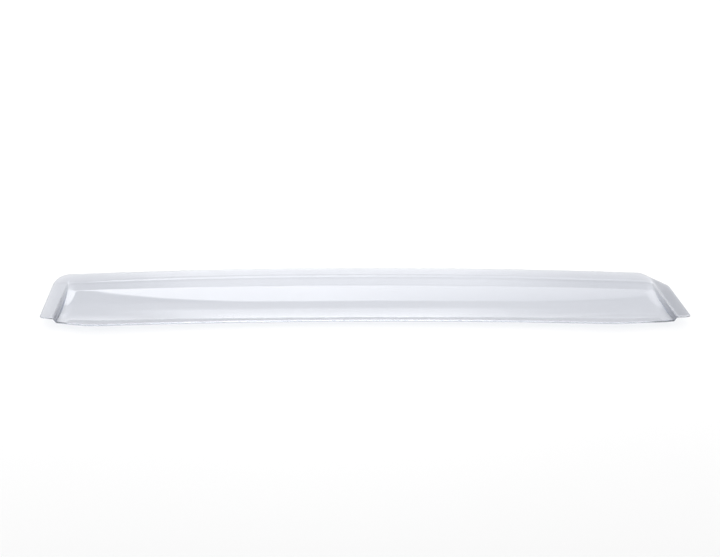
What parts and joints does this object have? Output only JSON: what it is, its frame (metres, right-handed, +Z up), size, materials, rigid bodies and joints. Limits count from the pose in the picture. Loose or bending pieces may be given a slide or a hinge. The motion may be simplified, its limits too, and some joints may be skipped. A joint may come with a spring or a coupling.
{
  "type": "window rain deflector",
  "caption": "Clear thermoformed acrylic window rain deflector: a long shallow tray-shaped shield with a flat adhesive flange along the roof edge and flat end tabs.",
  "frame": {"origin": "middle of the bounding box's base, on the surface that the shield lies on", "axes": "+X along the door towards the end with the cut corner, +Y towards the roof edge, +Z up from the surface, hollow side up"},
  "size_m": [0.879, 0.1028, 0.02],
  "materials": {
    "clear_acrylic": "clear, faintly blue-grey, polished both sides"
  },
  "bodies": {
    "root": {"deflector_shell": "clear_acrylic"}
  },
  "joints": []
}
